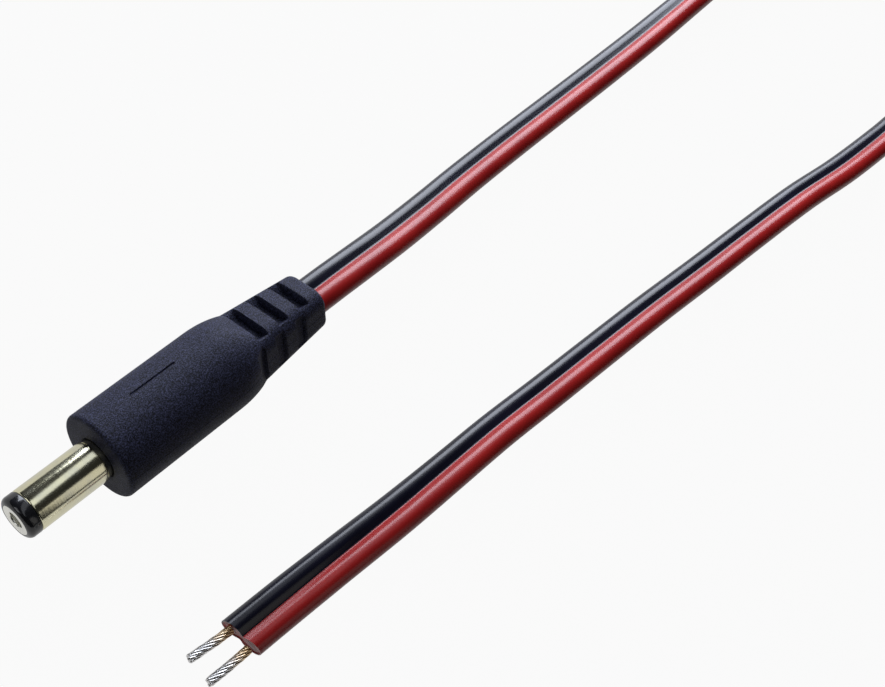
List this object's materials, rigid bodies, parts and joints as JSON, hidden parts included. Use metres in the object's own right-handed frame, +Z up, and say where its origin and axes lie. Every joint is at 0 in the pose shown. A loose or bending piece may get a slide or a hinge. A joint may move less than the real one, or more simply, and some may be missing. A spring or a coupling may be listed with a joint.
{
  "type": "dc barrel plug",
  "caption": "Straight barrel plug with a moulded round housing and slotted strain relief on a red and black twin cable, folded into a tied hank, ending in bare tinned leads.",
  "frame": {"origin": "on the resting surface, under the middle of the plug's own length (barrel, housing and strain relief, without the cable)", "axes": "+X along the plug from the barrel's tip towards the cable, +Z up from the surface the plug lies on"},
  "size_m": [0.2809, 0.0444, 0.0133],
  "materials": {
    "nickel": "bright nickel plate over turned brass",
    "black_plastic": "smooth hard insulating plastic",
    "black_pvc": "fine satin texture, flexible",
    "red_pvc": "smooth extruded flexible plastic",
    "copper": "bare stranded copper",
    "solder": "tinned, satin"
  },
  "bodies": {
    "root": {"outer_contact_sleeve": "nickel", "tip_insulator": "black_plastic", "inner_contact_tube": "nickel", "rear_insulating_bush": "black_plastic", "moulded_housing": "black_pvc", "red_lead": "red_pvc", "black_lead": "black_pvc", "red_conductor": "copper", "black_conductor": "copper", "centre_solder_joint": "solder", "sleeve_solder_joint": "solder", "cable_plug_side": "red_pvc", "cable_hank": "red_pvc", "cable_free_side": "red_pvc", "red_tinned_end": "solder", "black_tinned_end": "solder", "hank_tie": "black_pvc"}
  },
  "joints": []
}
